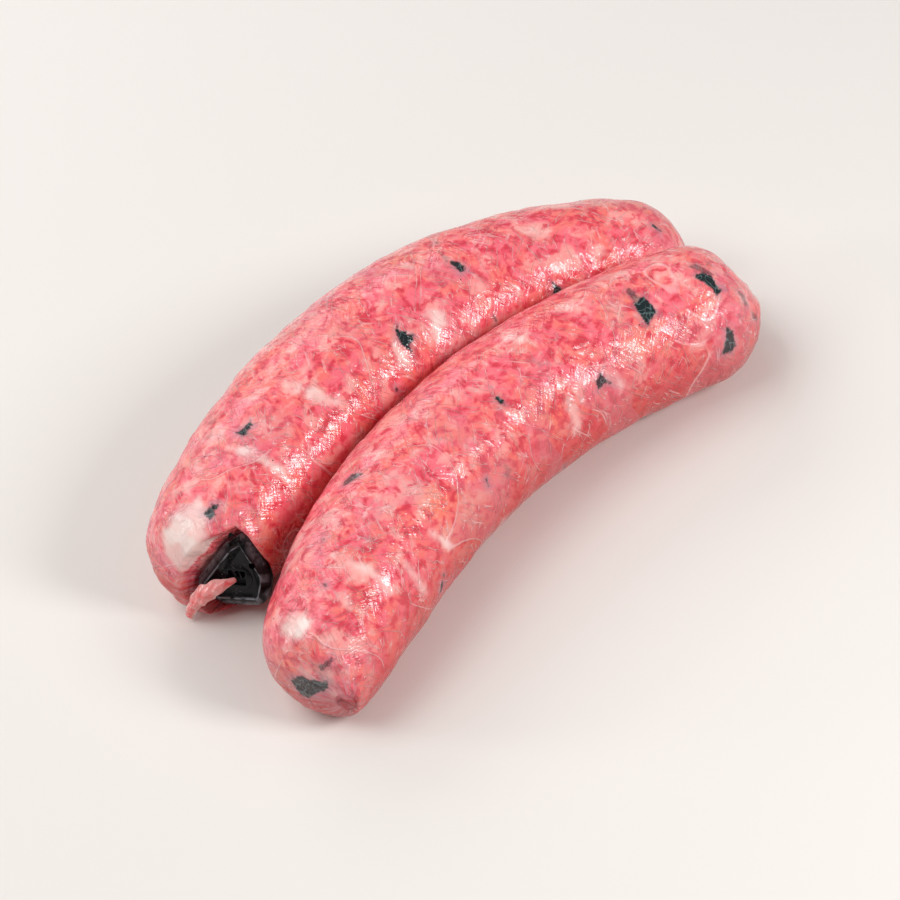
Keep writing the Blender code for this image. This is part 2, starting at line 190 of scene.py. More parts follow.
# Scraps of dark herb leaf; the last eight are on the far side and underneath
HERBS = (
    Mark("rear", 25, 70, 0.9, ((2, 1), (2, 0), (2.5, -0.5), (1.5, -1), (0.5, -0.5), (0, -1.5),
        (-2, -1), (-1.5, 1.5), (1, 0.5))),
    Mark("front", 6, 157, 0.85, ((5.5, 2), (3.5, -1.5), (2.5, -2.5), (0.5, -2), (-0.5, -3),
        (-3, -3.5), (-4.5, -4.5), (-5, -2.5), (-4, -0.5), (-3, 0), (0, 5), (1.5, 5.5))),
    Mark("front", 10, 78, 0.6, ((0.5, 2), (1, -2), (0.5, -2.5), (-1, 2))),
    Mark("rear", 129, 72, 0.9, ((-1.5, 2.5), (0, 2), (1, 1), (1.5, -1), (1, -1.5), (1, -2.5),
        (-0.5, -2))),
    Mark("rear", 128, 84, 0.35, ((0, 3.5), (0.5, 3), (0.5, -0.5), (-0.5, -3), (-1, -1))),
    Mark("rear", 100, 46, 0.95, ((0.5, 4.5), (0, 3), (1.5, 2), (1, 1), (2.5, 0), (1.5, -1),
        (-0.5, -1.5), (-1, -4), (-2, 0), (-1, 3.5))),
    Mark("rear", 154, 28, 0.95, ((-0.8, 2.6), (1.6, -0.6), (0.2, -1.4), (-1.4, -0.8), (-0.8, 0.4))),
    Mark("rear", 88.4, 25, 0.7, ((0, 1.2), (0.2, 0.6), (0, -0.6), (-0.4, 0))),
    Mark("front", 107, 59, 1.0, ((-0.2, 1.6), (0.4, 1.2), (0.6, -0.8), (0.2, -1.4), (-0.4, -0.6),
        (-0.8, 1.2))),
    Mark("front", 108.3, 70, 0.45, ((0, 1.2), (0, 0.6), (-0.2, -0.6), (-0.4, -0.2))),
    Mark("front", 124, 64, 0.3, ((-0.2, 1.8), (0.8, -1.6), (-0.4, -1), (-0.6, 0.6))),
    Mark("front", 124, 62, 0.3, ((-0.4, 2), (-0.2, 0.6), (1.2, -0.8), (-0.4, -0.6))),
    Mark("rear", 130, 26, 0.6, ((-0.2, 1.6), (0.2, 1.2), (0, -0.8), (-0.4, -0.6))),
    Mark("rear", 130, 103, 0.4, ((0.4, 2), (1, 0.6), (0.2, -0.4), (-0.4, 0.2))),
    Mark("front", 95, 16, 0.35, ((0, 2.5), (1.5, -1), (-1, -1.5), (-2, -0.5), (-0.5, 0.5))),
    Mark("front", 86, 20, 1.0, ((0, 1.6), (0.4, 1.2), (0, -0.8), (-0.6, -0.4))),
    Mark("front", 160, 58, 0.95, ((-2, 3.5), (1.5, 4.5), (2.5, -1), (-1.5, -3.5), (-2, -1.5))),
    Mark("front", 159, 76, 0.6, ((-0.5, 3), (0.5, 2.5), (1, 0), (1, -2), (-0.5, -2), (-1, 0.5))),
    Mark("front", 181, 64, 0.95, ((-3, 3), (-0.5, 3.5), (1.5, 2), (2, -2), (3, -2.5), (0.5, -4),
        (0, -2), (-3, 2))),
    Mark("front", 181, 78, 0.55, ((-4, 2), (-1, 2.5), (2.5, -2), (1, -2))),
    Mark("front", 184, 85, 0.3, ((-1, 1), (0.4, 1.4), (0.8, -0.6), (-0.8, -0.8))),
    Mark("front", 181, 11, 0.85, ((0, 4.5), (1.5, 2.5), (1.5, -2), (-0.5, -3), (-3, -2.5))),
    Mark("front", 190, 41, 0.5, ((-1.5, 2.5), (0.5, 1.5), (1.5, -2), (-0.5, -1.5))),
    Mark("front", 192, 14, 0.5, ((-1, 2.2), (0.6, 0.6), (-0.2, -1.2), (-1.8, 0.2))),
    Mark("front", 138, 26, 0.8, ((0.5, 2.5), (0.5, 1), (1.5, -0.5), (2, -1.5), (0, -0.5),
        (-2.5, -1), (-2, 1))),
    Mark("rear", 191, 78, 1.0, ((-1.8, 0), (-1.2, 0.6), (1.2, -0.2), (0.8, -0.8))),
    Mark("rear", 49, 84, 0.9, ((-2, 2), (0.5, 0.5), (3, 0.5), (2, -1), (1.5, -0.5), (1, -1),
        (0, -0.5), (-1, -1), (-2, -0.5))),
    Mark("rear", 49, 116, 0.3, ((-0.4, 2.8), (0.8, 1.2), (1.2, -0.4), (0, -1.2), (-1.2, 0.4))),
    Mark("rear", 44, 109, 0.25, ((-0.4, 2.2), (0.8, 0.8), (0.8, -1.6), (0, -0.6), (-0.8, 1.2))),
    Mark("front", 64, 108, 0.75, ((-2, 2.5), (0, 3), (2, 1.5), (2.5, -1), (2, -2), (-2, 1))),
    Mark("front", 43.6, 102, 0.6, ((0, 0.8), (0.8, 0.2), (0.4, -0.2), (-0.2, 0.2))),
    Mark("front", 47, 68, 0.28, ((0, 1.8), (0.6, 0.8), (1.2, -1.2), (-0.4, -0.8), (-0.8, 0.2))),
    Mark("front", 56, -15, 0.8, ((-0.5, 4), (0.5, 1.5), (-0.5, -0.5), (-1.5, -0.5))),
    Mark("front", 56.4, -3, 0.7, ((0, 1), (0.4, 0), (0, -0.4), (-0.2, 0.2))),
    Mark("front", 30.4, 84, 0.9, ((0.6, 0.8), (0.4, 0), (-0.4, -0.2), (-0.2, 0.2))),
    Mark("rear", 38, 160, 0.8, LEAF_BIT),
    Mark("rear", 74, 142, 0.9, LEAF_SLIVER),
    Mark("rear", 97, 168, 0.6, LEAF_BIT),
    Mark("rear", 121, 150, 0.9, LEAF_BIT),
    Mark("rear", 158, 172, 0.7, LEAF_SLIVER),
    Mark("front", 74, -38, 0.7, LEAF_BIT),
    Mark("front", 118, -30, 0.5, LEAF_SLIVER),
    Mark("front", 150, -42, 0.8, LEAF_BIT),
)

# Lumps of white fat; the last four are on the far side and underneath
FAT = (
    Mark("rear", 14, 79, 1.0, ((12, -1), (8.5, -4.5), (-4.5, -7.5), (-9, -4.5), (-9.5, 1),
        (-8, 4.5), (-2.5, 8), (3.5, 8), (9, 4))),
    Mark("rear", 44, 60, 0.9, ((-2, 9.5), (0, 7), (1, 4), (1, 1), (2, -6), (1, -9), (0, -8.5),
        (-0.5, 0), (-2, 7))),
    Mark("rear", 69, 57, 0.9, ((-1.5, 4.5), (0.5, 3), (2.5, -3), (2, -5), (-2.5, 0.5), (-3, 3))),
    Mark("rear", 66, 78, 0.5, ((-0.5, 4.5), (1.5, 2), (1.5, -2.5), (-0.5, -3), (-2, 0.5))),
    Mark("rear", 96, 40, 1.0, ((0.5, 4.5), (1.5, -0.5), (1.5, -3), (-1, -3), (-2, -1))),
    Mark("rear", 112, 43, 0.8, ((-1.5, 4), (1.5, 4), (3.5, 1.5), (3, 0), (-2.5, -4), (-3.5, -2.5))),
    Mark("rear", 118, 94, 0.6, ((0, 2.4), (1.2, 1.2), (0.8, -1.2), (-0.8, -1.6), (-1, 0.6))),
    Mark("front", 19, 105, 1.0, ((2, 4.5), (3, 0.5), (3.5, -3), (1, -4.5), (-1.5, -4), (-3, -1.5),
        (-2.5, 3.5), (-1, 5))),
    Mark("front", 28, 64, 0.7, ((0.2, 2.2), (1.8, 1.4), (1.8, -0.2), (0.2, -1.4), (-1.6, -1),
        (-1.6, 0.8))),
    Mark("front", 17, 73, 0.5, ((0.8, 1.6), (1.6, 0.2), (0.6, -1.4), (-0.8, -0.8), (-1.2, 0.8))),
    Mark("front", 62, 18, 0.7, ((-1.5, 5), (0.5, 2.5), (2, -1), (2, -4), (-0.5, -2.5))),
    Mark("front", 38, 53, 0.6, ((0.5, 6.5), (2, 3.5), (2.5, 0), (1, -3.5), (-1, -6), (-2, -5),
        (-0.5, 2), (-0.5, 5.5))),
    Mark("front", 47, 19, 0.55, ((1, 6), (1, -1), (0.5, -5), (-2, -4.5), (-1, 3.5))),
    Mark("front", 125, 19, 0.6, ((0, 5.5), (1, 3), (1.5, -1), (0.5, -4.5), (-1.5, -5), (-1, 3.5))),
    Mark("front", 125, 92, 0.5, ((-2, 3.5), (0.5, 2.5), (1.5, -1), (1.5, -3.5), (-1, 0))),
    Mark("front", 6, 94, 0.6, ((1.5, 1.5), (1.5, -1.5), (-0.5, -2.5), (-1.5, -0.5), (-0.5, 2.5))),
    Mark("front", 143, 19, 0.5, ((0, 3), (1, 1.5), (1, -1.5), (-0.5, -2.5), (-1.5, 0.5))),
    Mark("rear", 156, 77, 0.5, ((-4, 2), (-0.5, 3), (2.5, 0.5), (2.5, -2), (-1.5, -2))),
    Mark("rear", 171, 48, 0.5, ((-2, 1.5), (1, 2), (2.5, -0.5), (-0.5, -2), (-2.5, -0.5))),
    Mark("rear", 60, 150, 0.6, FAT_STREAK),
    Mark("rear", 108, 158, 0.5, FAT_STREAK),
    Mark("rear", 142, 138, 0.5, FAT_STREAK),
    Mark("front", 90, -35, 0.4, FAT_STREAK),
)


# ---------------------------------------------------------------- working out the skin
def bezier(controls, t):
    """Value at t, 0 to 1, of the Bezier curve through these controls."""
    values = [control + 0 * t for control in controls]
    while len(values) > 1:
        values = [a + (b - a) * t for a, b in zip(values, values[1:])]
    return values[0]


def soft_limit(value, limit, softness):
    """The value, kept under the limit with a rounded shoulder."""
    share = np.clip(0.5 + 0.5 * (limit - value) / softness, 0, 1)
    return limit + (value - limit) * share - softness * share * (1 - share)


def level(angle):
    """Level unit vectors along angles, in radians."""
    return np.stack((np.cos(angle), np.sin(angle), np.zeros_like(angle)), axis=-1)


def to_left(direction):
    return np.stack((-direction[..., 1], direction[..., 0], direction[..., 2]), axis=-1)


@dataclass
class Spine:
    """Cross-sections along a link: centres, facing angles, radii and how gathered they are."""
    centres: np.ndarray
    facing: np.ndarray
    radii: np.ndarray
    near: np.ndarray
    far: np.ndarray

    def at(self, picked):
        return Spine(self.centres[picked], self.facing[picked], self.radii[picked],
                     self.near[picked], self.far[picked])


def middle_line(link):
    t = np.linspace(0, 1, SPINE_STEPS + 1)
    heading = np.radians(bezier(link.headings, t))
    body = bezier(link.radii, t)
    near = np.clip(1 - t * link.length / link.near.reach, 0, 1)
    far = np.clip(1 - (1 - t) * link.length / link.far.reach, 0, 1)
    rounding = np.sqrt((1 - near ** link.near.bluntness) * (1 - far ** link.far.bluntness))
    near_pull = near ** POLE_REACH
    far_pull = far ** POLE_REACH
    onward = level(heading)
    steps = onward[:-1] * (link.length / SPINE_STEPS)
    place = np.array((*link.start, 0)) + np.vstack((np.zeros(3), np.cumsum(steps, axis=0)))
    side = link.near.side * near_pull + link.far.side * far_pull
    drop = link.near.drop * near_pull + link.far.drop * far_pull
    inward = link.near.dimple * near_pull - link.far.dimple * far_pull
    turn = np.radians(link.near.turn * near_pull + link.far.turn * far_pull)
    height = body * HEIGHT_RATIO - BELLY_FLAT - drop
    centres = place + to_left(onward) * side[:, None] + onward * inward[:, None]
    centres[:, 2] = height
    return Spine(centres, heading + turn, np.maximum(body * rounding, POLE_RADIUS), near, far)


def even_rows(spine):
    """Pick sections at even distances over the skin, and say how far along the skin they are."""
    run = np.linalg.norm(np.diff(spine.centres, axis=0), axis=1)
    travelled = np.concatenate(([0], np.cumsum(np.hypot(run, np.diff(spine.radii)))))
    wanted = np.linspace(0, travelled[-1], ROWS)
    picked = np.minimum(np.searchsorted(travelled, wanted - MM / 10000), SPINE_STEPS)
    return spine.at(picked), wanted


def meeting_wall(front, rear):
    """Places and directions, front to rear, of the upright wall where the links press together."""
    front = front.at(slice(None, None, WALL_STRIDE))
    rear = rear.at(slice(None, None, WALL_STRIDE))
    between = rear.centres[None, :, :2] - front.centres[:, None, :2]
    nearest = np.linalg.norm(between, axis=2).argmin(axis=1)
    apart = between[np.arange(len(nearest)), nearest]
    distance = np.linalg.norm(apart, axis=1)
    direction = apart / distance[:, None]
    share = (distance + (front.radii ** 2 - rear.radii[nearest] ** 2) / distance) / 2
    loose = (front.near + front.far + rear.near[nearest] + rear.far[nearest]) > 0
    place = front.centres[:, :2] + direction * share[:, None]
    return place[~loose], direction[~loose]


def press_on_wall(points, wall, side):
    places, directions = wall
    pressed = points.copy()
    for row in pressed:
        gap = ((row[:, None, :2] - places[None]) ** 2).sum(axis=2)
        nearest = gap.argmin(axis=1)
        reach = ((row[:, :2] - places[nearest]) * directions[nearest]).sum(axis=1) * side
        shift = soft_limit(reach, -WALL_SPACE, SIDE_EDGE) - reach
        row[:, :2] += directions[nearest] * (shift * side)[:, None]
    return pressed


def clip_matrix():
    """Frame of the clip: x to the right and y up in its plane, z out of its face."""
    onward = Vector((math.cos(math.radians(CLIP_HEADING)), math.sin(math.radians(CLIP_HEADING)), 0))
    lean = math.radians(CLIP_LEAN)
    outward = Vector((0, 0, math.sin(lean))) - onward * math.cos(lean)
    right = Vector((onward.y, -onward.x, 0))
    rotation = Matrix((right, outward.cross(right), outward)).transposed()
    centre = Vector(CLIP_CENTRE) + Vector(LAID_AT)
    return Matrix.Translation(centre) @ rotation.to_4x4()


def outside_outline(x, y):
    """How far places in the clip's plane lie outside the clip's convex outline."""
    corners = [Vector(corner) * MM for corner in CLIP_OUTLINE]
    furthest = np.full(x.shape, -1.0)
    for corner, following in zip(corners, corners[1:] + corners[:1]):
        edge = (following - corner).normalized()
        furthest = np.maximum(furthest, (x - corner.x) * edge.y - (y - corner.y) * edge.x)
    return furthest


def press_on_clip(points):
    """Hold the skin behind the clip, and let it rise close beside the clip."""
    matrix = np.array(clip_matrix())
    local = (points - matrix[:3, 3]) @ matrix[:3, :3]
    beside = np.maximum(0, outside_outline(local[..., 0], local[..., 1]) - DENT_MARGIN)
    limit = -CLIP_THICK - 0.1 * MM + beside * DENT_SLOPE
    local[..., 2] = soft_limit(local[..., 2], limit, DENT_EDGE)
    return local @ matrix[:3, :3].T + matrix[:3, 3]


def smooth_step(value, low, high):
    share = np.clip((value - low) / (high - low), 0, 1)
    return share * share * (3 - 2 * share)


def noise_at(points, size, seed):
    """Even noise, about -1 to 1, with features of this size."""
    offset = Vector((seed * 7.31, seed * 3.17, seed * 5.77))
    flat = points.reshape(-1, 3) / size
    return np.array([noise.noise(Vector(point) + offset) for point in flat]).reshape(points.shape[:-1])


def outward_normals(points):
    """Normals of a tube of points, rows along it and columns around it."""
    along = np.gradient(points, axis=0)
    around = np.roll(points, -1, axis=1) - np.roll(points, 1, axis=1)
    normal = np.cross(around, along)
    return normal / np.maximum(np.linalg.norm(normal, axis=2, keepdims=True), 1e-12)


def distance_to_outline(x, y, outline):
    """Distance to a closed outline, less than 0 inside it."""
    nearest = np.full(x.shape, np.inf)
    inside = np.zeros(x.shape, bool)
    for (ax, ay), (bx, by) in zip(outline, outline[1:] + outline[:1]):
        across, up = bx - ax, by - ay
        share = np.clip(((x - ax) * across + (y - ay) * up) / (across ** 2 + up ** 2), 0, 1)
        nearest = np.minimum(nearest, np.hypot(x - ax - share * across, y - ay - share * up))
        if up:
            inside ^= ((ay > y) != (by > y)) & (x < ax + across * (y - ay) / up)
    return np.where(inside, -nearest, nearest)


def mark_field(points, unrolled, marks, link):
    """Distance in millimetres to the nearest mark's outline, and that mark's strength."""
    field = np.full(points.shape[:2], FAR_OFF)
    strength = np.zeros(points.shape[:2])
    for mark in marks:
        if mark.link != link:
            continue
        row = int(np.abs(unrolled[:, 0, 0] - mark.along * MM).argmin())
        column = round((mark.around / 360 + 0.25) * COLUMNS) % COLUMNS
        centre = points[row, column]
        along = points[min(row + 3, ROWS - 1), column] - points[max(row - 3, 0), column]
        around = points[row, (column + 3) % COLUMNS] - points[row, column - 3]
        along /= np.linalg.norm(along)
        around -= along * around.dot(along)
        around /= np.linalg.norm(around)
        offset = (points - centre) / MM
        depth = np.abs(offset @ np.cross(along, around))
        distance = distance_to_outline(offset @ along, offset @ around, mark.outline)
        distance = np.where(depth < MARK_DEPTH, distance, FAR_OFF)
        closer = distance < field
        field[closer] = distance[closer]
        strength[closer] = mark.strength
    return field, strength


def unroll(travelled, angle, twist):
    """Where each point of the skin lies on a straight tube that is wrung by twist radians a metre."""
    turned = angle[None] + travelled[:, None] * twist
    return np.stack((np.broadcast_to(travelled[:, None], turned.shape),
                     ROUND_RADIUS * np.cos(turned), ROUND_RADIUS * np.sin(turned)), axis=2)


def lay_skin(name, link, spine, wall, side, clipped, seed):
    """Points of a link's skin, and what its paint needs to know at each point."""
    rows, travelled = even_rows(spine)
    angle = 2 * np.pi * (np.arange(COLUMNS) / COLUMNS - 0.25)
    right = -to_left(level(rows.facing))
    gather = np.maximum(rows.near, rows.far)
    circle = np.stack((np.cos(angle), np.sin(angle)), axis=1)
    folds = noise_at(np.concatenate((np.broadcast_to(circle, (ROWS, COLUMNS, 2)),
                                     np.broadcast_to(travelled[:, None, None] * 18,
                                                     (ROWS, COLUMNS, 1))), axis=2), 0.3, seed)
    pleats = (0.5 - np.abs(folds) * 2) * PLEAT_HEIGHT * (gather ** 2.5)[:, None]
    pleats *= smooth_step(rows.radii, 1 * POLE_RADIUS, 3 * POLE_RADIUS)[:, None] * 0.75 + 0.25
    radius = rows.radii[:, None] + pleats
    points = (rows.centres[:, None]
              + right[:, None] * (radius * np.cos(angle))[..., None]
              + UP * (radius * np.sin(angle) * HEIGHT_RATIO)[..., None])
    points = press_on_wall(points, wall, side)
    points += np.array(LAID_AT)
    if clipped:
        points = press_on_clip(points)
    unrolled = unroll(travelled, angle, 0)
    lumps = noise_at(unrolled, LUMP_SIZE, seed + 1) * LUMP_HEIGHT
    grain = noise_at(unrolled, GRAIN_SIZE, seed + 2) * GRAIN_HEIGHT
    calm = smooth_step(rows.radii, POLE_RADIUS, 4 * POLE_RADIUS)[:, None]
    herb, herb_strength = mark_field(points, unrolled, HERBS, name)
    fat, fat_strength = mark_field(points, unrolled, FAT, name)
    rise = smooth_step(-herb, -0.5, 0.5) * herb_strength * SCRAP_RISE
    rise += smooth_step(-fat, -2.5, 2.5) * fat_strength * LUMP_RISE
    relief = (lumps + grain - LUMP_HEIGHT / 3) * calm + rise
    points += outward_normals(points) * relief[..., None]
    points[..., 2] = -soft_limit(-points[..., 2], 0, BELLY_EDGE)
    pattern = travelled + seed * PATTERN_STEP
    layers = {"unrolled": unroll(pattern, angle, 0), "left_lay": unroll(pattern, angle, FIBRE_TWIST),
              "right_lay": unroll(pattern, angle, -FIBRE_TWIST),
              "gather": np.broadcast_to(gather[:, None], (ROWS, COLUMNS)),
              "herb": herb, "herb_strength": herb_strength,
              "fat": fat, "fat_strength": fat_strength}
    return points, layers


def close_poles(points, layers, depth):
    """Add rows that draw both end rings in to a point, pushed inwards like the mouth of a tied bag."""
    shares = np.arange(CAP_ROWS) / CAP_ROWS
    closed = []
    for ring, inner in ((points[0], points[6]), (points[-1], points[-7])):
        centre = ring.mean(axis=0)
        inward = inner.mean(axis=0) - centre
        inward = inward / np.linalg.norm(inward) * depth
        rows = (centre + (ring - centre)[None] * shares[:, None, None]
                + inward * (1 - shares ** 2)[:, None, None])
        closed.append(rows)
    grown = {}
    for label, layer in layers.items():
        near = np.repeat(layer[:1], CAP_ROWS, axis=0)
        far = np.repeat(layer[-1:], CAP_ROWS, axis=0)
        grown[label] = np.concatenate((near, layer, far))
    return np.concatenate((closed[0], points, closed[1][::-1])), grown


def deselect_all():
    for item in bpy.context.selected_objects:
        item.select_set(False)


def skin_piece(name, points, layers):
    """A grid, rolled into a closed tube: rows along the link and columns around it."""
    deselect_all()
    rows, columns = points.shape[:2]
    bpy.ops.mesh.primitive_grid_add(x_subdivisions=columns, y_subdivisions=rows - 1, size=1)
    piece = bpy.context.object
    piece.name = name
    mesh = piece.data
    mesh.name = name
    count = (columns + 1) * rows
    assert len(mesh.vertices) == count, (len(mesh.vertices), count)
    wrapped = np.concatenate((points, points[:, :1]), axis=1).reshape(-1, 3)
    mesh.vertices.foreach_set("co", wrapped.astype(np.float32).ravel())
    for label, values in layers.items():
        wide = values.ndim == 3
        layer = mesh.attributes.new(label, "FLOAT_VECTOR" if wide else "FLOAT", "POINT")
        full = np.concatenate((values, values[:, :1]), axis=1)
        layer.data.foreach_set("vector" if wide else "value", full.astype(np.float32).ravel())
    bpy.ops.object.mode_set(mode="EDIT")
    bpy.ops.mesh.select_all(action="SELECT")
    bpy.ops.mesh.remove_doubles(threshold=0.00001)
    bpy.ops.mesh.normals_make_consistent(inside=False)
    bpy.ops.object.mode_set(mode="OBJECT")
    bpy.ops.object.shade_smooth()
    return piece


# ---------------------------------------------------------------- paint
class Amount:
    """A number that varies over a surface. Sums and products add the nodes that work it out."""

    def __init__(self, paint, socket):
        self.paint = paint
        self.socket = socket

    def join(self, operation, *values):
        made = self.paint.node("ShaderNodeMath", {"operation": operation}, values)
        return Amount(self.paint, made.outputs[0])

    def __add__(self, other):
        return self.join("ADD", self, other)

    __radd__ = __add__

    def __sub__(self, other):
        return self.join("SUBTRACT", self, other)

    def __rsub__(self, other):
        return self.join("SUBTRACT", other, self)

    def __mul__(self, other):
        return self.join("MULTIPLY", self, other)

    __rmul__ = __mul__

    def __pow__(self, other):
        return self.join("POWER", self, other)

    def __abs__(self):
        return self.join("ABSOLUTE", self)

    def join_one(self, operation):
        return self.join(operation, self)

    def sine(self):
        return self.join("SINE", self)

    def most(self, other):
        return self.join("MAXIMUM", self, other)

    def step(self, low, high):
        """0 below low, 1 above high, smooth between them; low may be the larger."""
        settings = {"interpolation_type": "SMOOTHSTEP"}
        made = self.paint.node("ShaderNodeMapRange", settings, {0: self, 1: low, 2: high})
        return Amount(self.paint, made.outputs[0])


class Paint:
    """A material and the nodes behind it."""

    def __init__(self, name):
        self.material = bpy.data.materials.new(name)
        self.material.use_nodes = True
        self.nodes = self.material.node_tree.nodes
        self.shader = self.nodes["Principled BSDF"]

    def node(self, kind, settings=(), inputs=()):
        """A node with its settings made first, then the values or links of its sockets."""
        made = self.nodes.new(kind)
        for key, value in dict(settings).items():
            if key == "stops":
                for index, (place, colour) in enumerate(value):
                    stops = made.color_ramp.elements
                    stop = stops[index] if index < 2 else stops.new(place)
                    stop.position = place
                    stop.color = (*colour, 1)
            else:
                setattr(made, key, value)
        pairs = inputs.items() if isinstance(inputs, dict) else enumerate(inputs)
        for key, value in pairs:
            self.fill(made.inputs[key], value)
        return made

    def fill(self, socket, value):
        if isinstance(value, Amount):
            value = value.socket
        if isinstance(value, bpy.types.NodeSocket):
            self.material.node_tree.links.new(value, socket)
        elif isinstance(value, tuple) and socket.type == "RGBA":
            socket.default_value = (*value, 1)
        else:
            socket.default_value = value

    def place(self, label=None):
        """A named attribute of the skin, or the object's own coordinates."""
        if label:
            return self.node("ShaderNodeAttribute", {"attribute_name": label}).outputs["Vector"]
        return self.node("ShaderNodeTexCoord").outputs["Object"]

    def share(self, label):
        """A number that the skin carries at each point."""
        return Amount(self, self.node("ShaderNodeAttribute", {"attribute_name": label}).outputs["Fac"])

    def stretch(self, place, scale, turn=(0, 0, 0), shift=(0, 0, 0)):
        made = self.node("ShaderNodeMapping", {}, {"Vector": place, "Location": shift,
                                                   "Rotation": turn, "Scale": scale})
        return made.outputs[0]

    def noise(self, place, scale, detail=2.0, rough=0.5, swirl=0.0):
        made = self.node("ShaderNodeTexNoise", {}, {"Vector": place, "Scale": scale, "Detail": detail,
                                                    "Roughness": rough, "Distortion": swirl})
        return Amount(self, made.outputs["Fac"])

    def wander(self, place, scale, reach):
        """The same place, moved about by noise as far as reach."""
        made = self.node("ShaderNodeTexNoise", {}, {"Vector": place, "Scale": scale, "Detail": 1.0})
        centred = self.node("ShaderNodeVectorMath", {"operation": "SUBTRACT"},
                            (made.outputs["Color"], (0.5, 0.5, 0.5)))
        shift = self.node("ShaderNodeVectorMath", {"operation": "SCALE"},
                          {"Vector": centred.outputs[0], "Scale": reach})
        moved = self.node("ShaderNodeVectorMath", {"operation": "ADD"}, (place, shift.outputs[0]))
        return moved.outputs[0]

    def cells(self, place, scale):
        """Distance from, and a random number for, the nearest of many scattered points."""
        made = self.node("ShaderNodeTexVoronoi", {}, {"Vector": place, "Scale": scale})
        chance = self.node("ShaderNodeSeparateColor", {}, (made.outputs["Color"],))
        return Amount(self, made.outputs["Distance"]), Amount(self, chance.outputs[0])

    def blend(self, share, below, above):
        made = self.node("ShaderNodeMix", {"data_type": "RGBA"}, {0: share, 6: below, 7: above})
        return made.outputs[2]

    def bump(self, height, distance, strength=1.0):
        made = self.node("ShaderNodeBump", {}, {"Height": height, "Distance": distance,
                                                "Strength": strength})
        return made.outputs[0]

    def finish(self, **sockets):
        for label, value in sockets.items():
            self.fill(self.shader.inputs[label.replace("_", " ")], value)
        return self.material


def tint(red, green, blue):
    """A colour as a screen shows it, 0 to 255, made linear for the shader."""
    return tuple(((part / 255 + 0.055) / 1.055) ** 2.4 for part in (red, green, blue))


